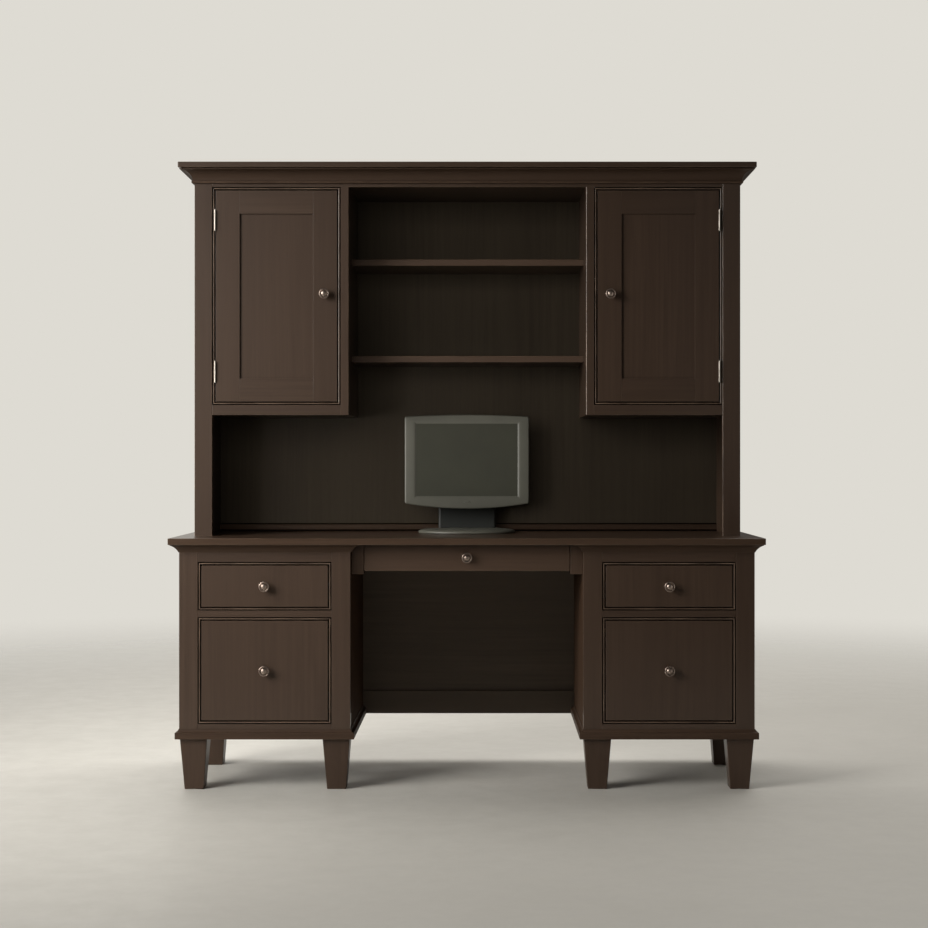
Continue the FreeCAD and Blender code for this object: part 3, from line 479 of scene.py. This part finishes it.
# ------------------------------------------------------------------ wood: hutch and doors
wood("hutch_sides", pair(SIDE_IN, HUT_OUT, HB, HUT_BACK, TOP_Z1, CAP_Z0, grain="z"))
wood("hutch_dividers", pair(DIV_IN, DIV_IN + DIV_T, HB, HUT_BACK, CAB_Z0, CEIL_Z0, grain="z"))
wood("hutch_ceiling", one(-SIDE_IN, SIDE_IN, HB, HUT_BACK, CEIL_Z0, CEIL_Z0 + CEIL_T))
wood("hutch_cap_board", one(-CAP_HALF, CAP_HALF, CAP_FRONT, HUT_BACK + BACK_T, CAP_Z0, CAP_Z1, r=2.0, seg=4))
wood("crown_moulding", crown, mat=MOULD_WOOD)
wood("hutch_back_panel", one(-HUT_OUT, HUT_OUT, HUT_BACK, HUT_BACK + BACK_T, TOP_Z1, CAP_Z0, grain="z", r=0.8), mat=BACK_WOOD)
# the strip's foot on the desk top and the groove at its top are darkened with painted shade
SKIRT = [(0.0, 0.0), (10.0, 0.0), (10.0, 4.5), (10.0, 6.5), (10.0, 21.6), (9.4, 22.2), (4.2, 22.2), (4.0, 22.4), (4.0, 26.0), (0.0, 26.0)]
wood("hutch_base_strip", lambda b: b.strip(SKIRT, (-SIDE_IN, HUT_BACK, TOP_Z1), X, -Y, Z, 2 * SIDE_IN, dark=(0, 1, 2, 6, 7, 8, 9)))
# the stiles beside the open bay, with their free arrises well rounded and given a painted highlight by the frame's
# light edge colour
OUT_W = HUT_OUT - STILE_IN
OUT_FACE = [(0.0, FRAME_T)] + arc(2.4, 2.4, 2.4, 180, 270, 4) + arc(OUT_W - 1.4, 1.4, 1.4, 270, 360, 3) + [(OUT_W, FRAME_T)]
DIV_FACE = ([(0.0, FRAME_T)] + arc(3.0, 3.0, 3.0, 180, 270, 4) + [(DIV_STILE - DIV_IN - 0.5, 0.0), (DIV_STILE - DIV_IN, 0.5),
            (DIV_STILE - DIV_IN, FRAME_T)])
wood("hutch_face_frame",
     lambda b: [b.strip(OUT_FACE, (STILE_IN, HUT_FACE, TOP_Z1), Z, X, Y, CAP_Z0 - TOP_Z1, 0, 0, m, (2, 3, 4, 7, 8)) for m in SIDES],
     lambda b: [b.strip(DIV_FACE, (DIV_IN, HUT_FACE, CAB_Z0), Z, X, Y, DOOR_Z1 - CAB_Z0, 0, 0, m, (2, 3, 4)) for m in SIDES],
     pair(DIV_STILE, STILE_IN, HUT_FACE, HB, CAB_Z0, DOOR_Z0, grain="x", r=0.8),
     one(-STILE_IN, STILE_IN, HUT_FACE, HB, DOOR_Z1, CAP_Z0, grain="x", r=0.8), mat=FRAME_WOOD)
wood("door_opening_beads", lambda b: beads(b, DIV_STILE, STILE_IN, DOOR_Z0, DOOR_Z1, HUT_FACE), mat=FRAME_WOOD)
wood("cabinet_bottoms", pair(DIV_IN + DIV_T, SIDE_IN, HB, HUT_BACK, CAB_Z0, CAB_Z0 + 20))
wood("hutch_shelves", *[one(-DIV_IN, DIV_IN, SHELF_FRONT, HUT_BACK, z0, z1, r=1.8, seg=3) for z0, z1 in SHELVES],
     pair(DIV_IN + DIV_T + 1, SIDE_IN - 1, -55.0, HUT_BACK - 1, *CAB_SHELF))
DB = HUT_FACE + FRONT_T
for side, m in (("right", False), ("left", True)):
    n = side + "_door"
    wood(n + "_frame", one(DX0, DX0 + DOOR_STILE, HUT_FACE, DB, DZ0, DZ1, grain="z", r=0.6, mirror=m),
         one(DX1 - DOOR_STILE, DX1, HUT_FACE, DB, DZ0, DZ1, grain="z", r=0.6, mirror=m),
         one(DX0 + DOOR_STILE, DX1 - DOOR_STILE, HUT_FACE, DB, DZ0, DZ0 + DOOR_BOT, grain="x", r=0.4, mirror=m),
         one(DX0 + DOOR_STILE, DX1 - DOOR_STILE, HUT_FACE, DB, DZ1 - DOOR_TOP, DZ1, grain="x", r=0.4, mirror=m))
    t = 8.0
    wood(n + "_panel", one(DX0 + DOOR_STILE - t, DX1 - DOOR_STILE + t, HUT_FACE + PANEL_IN, HUT_FACE + PANEL_IN + PANEL_T,
                           DZ0 + DOOR_BOT - t, DZ1 - DOOR_TOP + t, grain="z", r=0.5, mirror=m))

# ------------------------------------------------------------------ hardware and monitor
def mesh(name, verts, faces):
    me = bpy.data.meshes.new(name)
    me.from_pydata([tuple(Vector(v) * MM) for v in verts], [], faces)
    return me


def curve(pts, n=4):
    """A smooth line through the points, n steps to a span."""
    ext = [pts[0]] + list(pts) + [pts[-1]]
    out = [pts[0]]
    for a, b, c, d in zip(ext, ext[1:], ext[2:], ext[3:]):
        for i in range(1, n + 1):
            t = i / n
            out.append(tuple(0.5 * (2 * b[k] + (c[k] - a[k]) * t + (2 * a[k] - 5 * b[k] + 4 * c[k] - d[k]) * t * t
                                    + (3 * b[k] - a[k] - 3 * c[k] + d[k]) * t ** 3) for k in (0, 1)))
    return out


def rings(rows):
    """Vertices and faces of a skin over rows of points; a row of one point is a pole."""
    verts, faces, ids = [], [], []
    n = max(len(r) for r in rows)
    for r in rows:
        ids.append([len(verts)] * n if len(r) == 1 else list(range(len(verts), len(verts) + n)))
        verts += r
    for a, b in zip(ids, ids[1:]):
        for i in range(n):
            j = (i + 1) % n
            f = []
            for v in (a[i], a[j], b[j], b[i]):
                if v not in f:
                    f.append(v)
            faces.append(tuple(f))
    return verts, faces


KNOB_FACE = ([(2.0, 0.0)] + curve([(11.4, 0.0), (11.9, 0.9), (11.3, 2.1), (9.9, 2.9), (8.0, 3.2)], 3)
             + curve([(7.2, 3.7), (6.1, 5.2), (5.5, 7.8), (5.7, 10.4), (7.0, 12.6), (9.6, 14.2), (12.9, 15.5), (15.2, 17.2),
                      (16.1, 19.4), (15.9, 21.5), (14.8, 22.9), (13.4, 23.2), (12.4, 22.4), (11.7, 21.0)], 3)
             + curve([(10.9, 20.9), (10.5, 22.4), (9.6, 24.4), (7.9, 26.3), (5.5, 27.7), (2.8, 28.4), (0.0, 28.6)], 3))


def knob(node, x, y, z, depth):
    """A turned knob: screw head and shank behind the front, rosette, neck, rim, groove and domed middle."""
    tail = [(0.0, -depth - 2.3), (3.2, -depth - 2.3), (4.0, -depth - 1.9), (4.2, -depth - 1.2), (4.2, -depth), (2.0, -depth)]
    rows = []
    for r, d in tail + KNOB_FACE:
        turn = [2 * math.pi * i / 56 for i in range(56)] if r > 0 else [0.0]
        rows.append([(x + r * math.cos(a), y - d, z + r * math.sin(a)) for a in turn])
    place(mesh(node + "-turned", *rings(rows)), node + "-turned", [node], PEWTER, 50.0)


for side, s in (("left", -1), ("right", 1)):
    knob(side + "_upper_drawer_knob", s * KNOB_X, FACE_Y, KNOB_UP_Z, FRONT_T + WALL)
    knob(side + "_lower_drawer_knob", s * KNOB_X, FACE_Y, KNOB_LO_Z, FRONT_T + WALL)
    knob(side + "_door_knob", s * DOOR_KNOB_X, HUT_FACE, DOOR_KNOB_Z, FRONT_T)
knob("centre_drawer_knob", 0.0, RECESS_Y, KNOB_CEN_Z, FRONT_T + WALL)

M, MON_FRONT, MON_HALF, MON_TOP, MON_TOP_EDGE, MON_BOT, MON_BOT_EDGE = -3.5, 115.0, 203.0, 1151.0, 1145.0, 845.0, 862.0
SCR_HALF, SCR_Z0, SCR_Z1, KEY_Z = 165.0, 886.0, 1121.5, 867.0
BASE_RX, BASE_RY, BASE_Y, BASE_H, LIP = 158.5, 120.0, 130.0, 14.5, 1.8


def loop4(sides, r, n=14, k=5):
    """A closed loop of points along four sides, each a polyline, with the corners between them rounded."""
    rows = []
    for pts in sides:
        run = [0.0]
        for a, b in zip(pts, pts[1:]):
            run.append(run[-1] + math.dist(a, b))
        row = []
        for i in range(n):
            t = r + (run[-1] - 2 * r) * i / (n - 1)
            j = next(q for q in range(1, len(run)) if run[q] >= t - 1e-9)
            u = (t - run[j - 1]) / (run[j] - run[j - 1])
            row.append(tuple(pts[j - 1][q] + u * (pts[j][q] - pts[j - 1][q]) for q in (0, 1)))
        rows.append(row)
    loop = []
    for i, row in enumerate(rows):
        a, c, b = row[-1], sides[i][-1], rows[(i + 1) % 4][0]
        loop += row
        for m in range(1, k + 1):
            t = m / (k + 1)
            loop.append(tuple((1 - t) ** 2 * a[q] + 2 * t * (1 - t) * c[q] + t * t * b[q] for q in (0, 1)))
    return loop


def inset(loop, d):
    """The loop moved inward by d."""
    out = []
    for i, p in enumerate(loop):
        a, b = loop[i - 1], loop[(i + 1) % len(loop)]
        tx, tz = b[0] - a[0], b[1] - a[1]
        k = d / math.hypot(tx, tz)
        out.append((p[0] - tz * k, p[1] + tx * k))
    return out


def between(p, q, t):
    return [tuple(a[k] + t * (b[k] - a[k]) for k in (0, 1)) for a, b in zip(p, q)]


def window(half, z0, z1, r):
    c = [(M - half, z0), (M + half, z0), (M + half, z1), (M - half, z1)]
    return loop4([[c[i], c[(i + 1) % 4]] for i in range(4)], r)


def stadium(half, r, z, n=12):
    """A flat key's outline: straight sides and round ends."""
    return ([(M + half + r * math.cos(a), z + r * math.sin(a)) for a in [math.pi * (i / n - 0.5) for i in range(n + 1)]]
            + [(M - half + r * math.cos(a), z + r * math.sin(a)) for a in [math.pi * (i / n + 0.5) for i in range(n + 1)]])


def skin(rows, closed=False, lids=False):
    """A skin over rows of (loop, y)."""
    pts = [[(x, y, z) for x, z in loop] for loop, y in rows]
    verts, faces = rings(pts + pts[:1] if closed else pts)
    n = len(pts[0])
    if closed:
        verts = verts[:-n]
        faces = [tuple(v % len(verts) for v in f) for f in faces]
    if lids:
        faces += [tuple(range(n)), tuple(range(len(verts) - n, len(verts)))]
    return verts, faces


def carve(me, tool):
    """The mesh with the tool's shape cut out of it."""
    a, b = (bpy.data.objects.new("carve", m) for m in (me, tool))
    for o in (a, b):
        scene.collection.objects.link(o)
        bm = bmesh.new()
        bm.from_mesh(o.data)
        bmesh.ops.recalc_face_normals(bm, faces=list(bm.faces))
        bm.to_mesh(o.data)
        bm.free()
    mod = a.modifiers.new("cut", "BOOLEAN")
    mod.object, mod.operation, mod.solver = b, "DIFFERENCE", "EXACT"
    out = bpy.data.meshes.new_from_object(a.evaluated_get(bpy.context.evaluated_depsgraph_get()))
    for o in (a, b):
        bpy.data.objects.remove(o)
    return out


corner = [(M - MON_HALF, MON_BOT_EDGE), (M + MON_HALF, MON_BOT_EDGE), (M + MON_HALF, MON_TOP_EDGE), (M - MON_HALF, MON_TOP_EDGE)]
outer = loop4([arc3(corner[0], (M, MON_BOT), corner[1], 48), [corner[1], corner[2]],
               arc3(corner[2], (M, MON_TOP), corner[3], 48), [corner[3], corner[0]]], 7.0)
F = MON_FRONT
edge = [(inset(outer, 5.0 * (1 - math.cos(a))), F + 6.0 - 5.0 * math.sin(a)) for a in [math.radians(15 * i) for i in range(7)]]
mouth = window(SCR_HALF + 5.4, SCR_Z0 - 5.4, SCR_Z1 + 5.4, 3.0)
face = [(between(edge[-1][0], mouth, t), F + 1.0 * (1 - t) ** 2.5) for t in (0.25, 0.5, 0.75)]
lip = [(mouth, F), (window(SCR_HALF + 5.0, SCR_Z0 - 5.0, SCR_Z1 + 5.0, 2.8), F + 0.1),
       (window(SCR_HALF + 0.2, SCR_Z0 - 0.2, SCR_Z1 + 0.2, 1.6), F + LIP - 0.1), (window(SCR_HALF, SCR_Z0, SCR_Z1, 1.5), F + LIP)]
pocket = [(window(SCR_HALF + 5.0, SCR_Z0 - 5.0, SCR_Z1 + 5.0, 1.5), y) for y in (F + LIP + 0.02, F + 22.0)]
bezel = mesh("monitor_bezel-shell", *skin([(outer, F + 22.0)] + edge + face + lip + pocket, closed=True))
bezel = carve(bezel, mesh("slot", *skin([(stadium(7.0, 3.3, KEY_Z), y) for y in (F - 3, F + 30)], lids=True)))
place(bezel, "monitor_bezel-shell", ["monitor_bezel"], GREY, 32.0)
key = [(stadium(7.0, 3.0, KEY_Z), F + 12.0), (stadium(7.0, 3.0, KEY_Z), F - 0.7), (stadium(7.0, 2.8, KEY_Z), F - 1.15),
       (stadium(6.9, 2.3, KEY_Z), F - 1.4)]
place(mesh("power_button-key", *skin(key, lids=True)), "power_button-key", ["power_button"], GREY, 40.0)
pane = [(window(SCR_HALF + 4.5, SCR_Z0 - 4.5, SCR_Z1 + 4.5, 1.2), y) for y in (F + 17.0, F + LIP + 0.4)]
pane.append((window(SCR_HALF + 4.1, SCR_Z0 - 4.1, SCR_Z1 + 4.1, 1.0), F + LIP + 0.04))
place(mesh("monitor_screen-pane", *skin(pane, lids=True)), "monitor_screen-pane", ["monitor_screen"], SCREEN, 15.0)


def oval(k, z, n=96):
    return [(M + BASE_RX * k[0] * math.cos(2 * math.pi * i / n), BASE_Y + BASE_RY * k[1] * math.sin(2 * math.pi * i / n), TOP_Z1 + z)
            for i in range(n)]


dome = [((0.985, 0.975), 0.0), ((1.0, 1.0), 2.2), ((1.0, 1.0), 4.8)]
dome += [((1 - u, 1 - 1.55 * u), 4.8 + (BASE_H - 4.8) * math.sin(a)) for a, u in
         [(math.radians(9 * i), 0.30 * (1 - math.cos(math.radians(9 * i)))) for i in range(1, 11)]]
verts, faces = rings([[(M, BASE_Y, TOP_Z1)]] + [oval(k, z) for k, z in dome] + [[(M, BASE_Y, TOP_Z1 + BASE_H)]])
place(mesh("monitor_base-foot", verts, faces), "monitor_base-foot", ["monitor_base"], GREY, 40.0)


def eased(node, mat, width, sharp=30.0):
    """The node's own shape with its flats merged and its edges eased."""
    bm = bmesh.new()
    bm.from_mesh(NODE[node].data)
    bmesh.ops.remove_doubles(bm, verts=list(bm.verts), dist=1e-6)
    bmesh.ops.dissolve_limit(bm, angle_limit=math.radians(0.6), verts=list(bm.verts), edges=list(bm.edges))
    cut = [e for e in bm.edges if len(e.link_faces) == 2 and e.calc_face_angle(0.0) > math.radians(sharp)]
    bmesh.ops.bevel(bm, geom=cut, offset=width * MM, offset_type="OFFSET", segments=2, profile=0.5, affect="EDGES", clamp_overlap=True)
    me = bpy.data.meshes.new(node + "-eased")
    bm.to_mesh(me)
    bm.free()
    place(me, node + "-eased", [node], mat, 40.0, weighted=True)


eased("monitor_column", DARK, 0.8)
eased("monitor_rear_housing", DARK, 0.8)

for n, ob in NODE.items():
    if not ob.hide_render:
        mat = {"knob_metal": PEWTER, "hinge_nickel": NICKEL, "slide_steel": ZINC, "catch_plastic": CATCH,
               "monitor_grey": GREY, "monitor_dark": DARK, "screen": SCREEN}.get(SLOT[n], WOOD)
        for s in ob.material_slots:
            s.material = mat

# ------------------------------------------------------------------ stage, light and camera
BACKDROP = rgb(222, 219, 211)


def floor_material():
    """Pale smooth screed; its far parts give way to the plain backdrop."""
    s = Shader("pale_floor")
    pos = s.node("ShaderNodeTexCoord").outputs["Object"]
    a = s.noise(s.scaled(pos, (1.6, 1.6, 1.6)), 1.0, 5.0, 0.6)
    b = s.noise(s.scaled(pos, (9.0, 9.0, 9.0)), 1.0, 5.0, 0.65)
    col = s.mix(a, rgb(200, 197, 190), rgb(212, 209, 202))
    s.set(Base_Color=s.mix(s.span(b, 0.35, 0.7, 0.0, 0.35), col, rgb(192, 189, 182)), Roughness=s.span(b, 0.3, 0.7, 0.42, 0.58))
    far = s.node("ShaderNodeVectorMath", {0: pos}, operation="LENGTH").outputs["Value"]
    s.set(Alpha=s.node("ShaderNodeMapRange", {0: far, 1: 1.6, 2: 6.5, 3: 1.0, 4: 0.0}, interpolation_type="SMOOTHSTEP").outputs[0])
    return s.mat


me = bpy.data.meshes.new("floor")
me.from_pydata([(6.8 * math.cos(math.pi * i / 32), 6.8 * math.sin(math.pi * i / 32), 0.0) for i in range(64)], [], [tuple(range(64))])
floor = bpy.data.objects.new("floor", me)
scene.collection.objects.link(floor)
me.materials.append(floor_material())

world = bpy.data.worlds.new("studio")
scene.world = world
world.use_nodes = True
wt = world.node_tree


def wnode(kind, ins, **props):
    n = wt.nodes.new(kind)
    for k, v in props.items():
        setattr(n, k, v)
    for k, v in ins.items():
        if isinstance(v, bpy.types.NodeSocket):
            wt.links.new(v, n.inputs[k])
        else:
            n.inputs[k].default_value = v
    return n


# the room behind the object is pale, the one in front of it dim; the camera sees the plain backdrop
way = wnode("ShaderNodeSeparateXYZ", {0: wt.nodes.new("ShaderNodeTexCoord").outputs["Generated"]})
level = wnode("ShaderNodeMapRange", {0: way.outputs[1], 1: -0.25, 2: 0.35, 3: 0.072, 4: 0.85}, interpolation_type="SMOOTHSTEP")
back = wt.nodes["Background"]
back.inputs["Color"].default_value = rgb(228, 224, 216)
# a dimmer stretch behind the object's right end
near = wnode("ShaderNodeMapRange", {0: way.outputs[0], 1: -0.04, 2: 0.10, 3: 0.0, 4: 0.90}, interpolation_type="SMOOTHSTEP")
far = wnode("ShaderNodeMapRange", {0: way.outputs[0], 1: 0.35, 2: 0.60, 3: 1.0, 4: 0.0}, interpolation_type="SMOOTHSTEP")
low = wnode("ShaderNodeMapRange", {0: way.outputs[2], 1: 0.30, 2: 0.60, 3: 1.0, 4: 0.0}, interpolation_type="SMOOTHSTEP")
side = wnode("ShaderNodeMath", {0: near.outputs[0], 1: far.outputs[0]}, operation="MULTIPLY")
dim = wnode("ShaderNodeMath", {0: side.outputs[0], 1: low.outputs[0]}, operation="MULTIPLY")
keep = wnode("ShaderNodeMath", {0: 1.0, 1: dim.outputs[0]}, operation="SUBTRACT")
lit = wnode("ShaderNodeMath", {0: level.outputs[0], 1: keep.outputs[0]}, operation="MULTIPLY")
wt.links.new(lit.outputs[0], back.inputs["Strength"])
seen = wnode("ShaderNodeBackground", {"Color": BACKDROP, "Strength": 1.0})
path = wt.nodes.new("ShaderNodeLightPath")
mixer = wnode("ShaderNodeMixShader", {0: path.outputs["Is Camera Ray"], 1: back.outputs[0], 2: seen.outputs[0]})
wt.links.new(mixer.outputs[0], wt.nodes["World Output"].inputs[0])


def area(name, place_, aim, size, power, colour=(1, 1, 1), spread=180.0):
    d = bpy.data.lights.new(name, "AREA")
    d.shape, d.size, d.size_y, d.energy, d.color = "RECTANGLE", size[0], size[1], power, colour
    d.spread = math.radians(spread)
    o = bpy.data.objects.new(name, d)
    scene.collection.objects.link(o)
    o.location = place_
    o.rotation_mode = "QUATERNION"
    o.rotation_quaternion = (Vector(aim) - Vector(place_)).to_track_quat("-Z", "Y")
    return o


key = area("key", (-2.7, -1.9, 1.9), (-0.7, 0, 0.88), (2.1, 2.1), 36, (1.0, 0.985, 0.95), 80.0)
bay_fill = area("bay_fill", (-1.5, -5.4, 2.0), (0, 0.3, 1.2), (4.2, 1.8), 94, (1.0, 0.985, 0.95))
bay_fill.visible_glossy = False
bay_pool = area("bay_pool", (-1.5, -3.2, 0.95), (-0.27, 0.3, 0.86), (0.6, 0.4), 0.36, (1.0, 0.985, 0.95), 20.0)
bay_pool.visible_glossy = False
knee_fill = area("knee_fill", (-0.4, -5.4, 0.5), (0, 0.3, 0.42), (2.0, 0.8), 24, (1.0, 0.985, 0.95))
knee_fill.visible_glossy = False
rim = area("rim", (3.2, -2.6, 1.1), (0, -0.2, 1.0), (1.4, 2.4), 14, (1.0, 0.97, 0.94))
low_key = area("low_key", (-2.9, -2.0, 0.8), (0, 0.1, 1.0), (1.3, 1.3), 152, (1.0, 0.985, 0.95))


def link_light(light, state, names):
    group = bpy.data.collections.new(light.name + "_" + state.lower())
    light.light_linking.receiver_collection = group
    for n in names:
        group.objects.link(bpy.data.objects[n])
    for c in group.collection_objects:
        c.light_linking.link_state = state


# the deep bay, the knee space and the recessed drawer keep their even half-dark
head = ["monitor_bezel-shell", "monitor_screen-pane", "power_button-key"]
knee = ["desk_back_panel-wood", "modesty_base_rail-wood"]
link_light(key, "EXCLUDE", ["hutch_back_panel-wood", "hutch_base_strip-wood"] + knee + head)
link_light(knee_fill, "INCLUDE", knee)
link_light(bay_fill, "INCLUDE", ("hutch_back_panel-wood", "hutch_base_strip-wood", "hutch_shelves-wood", "centre_drawer_front-wood",
                                 "centre_drawer_cheeks-wood"))
link_light(bay_pool, "INCLUDE", ("hutch_back_panel-wood", "hutch_base_strip-wood"))
link_light(low_key, "INCLUDE", head)
link_light(rim, "INCLUDE", [o.name for o in scene.objects if "_knob" in o.name and not o.hide_render])
area("fill", (2.6, -6.0, 2.2), (0, 0, 0.9), (3.0, 3.0), 3, (1.0, 0.98, 0.96))
floor_light = area("floor_light", (0.0, 1.6, 4.6), (0, 0.9, 0), (5.0, 2.6), 150, (1.0, 0.99, 0.97))
link_light(floor_light, "EXCLUDE", ["hutch_cap_board-wood"])

cam_data = bpy.data.cameras.new("camera")
cam_data.lens, cam_data.sensor_width = 70.2, 36.0
cam_data.shift_x, cam_data.shift_y = -0.0226, -0.0022
cam_data.clip_end = 200
cam = bpy.data.objects.new("camera", cam_data)
scene.collection.objects.link(cam)
cam.location = (0.055, -5.774, 0.997)
cam.rotation_euler = (math.radians(90), 0, 0)
scene.camera = cam
scene.view_settings.view_transform = "Standard"
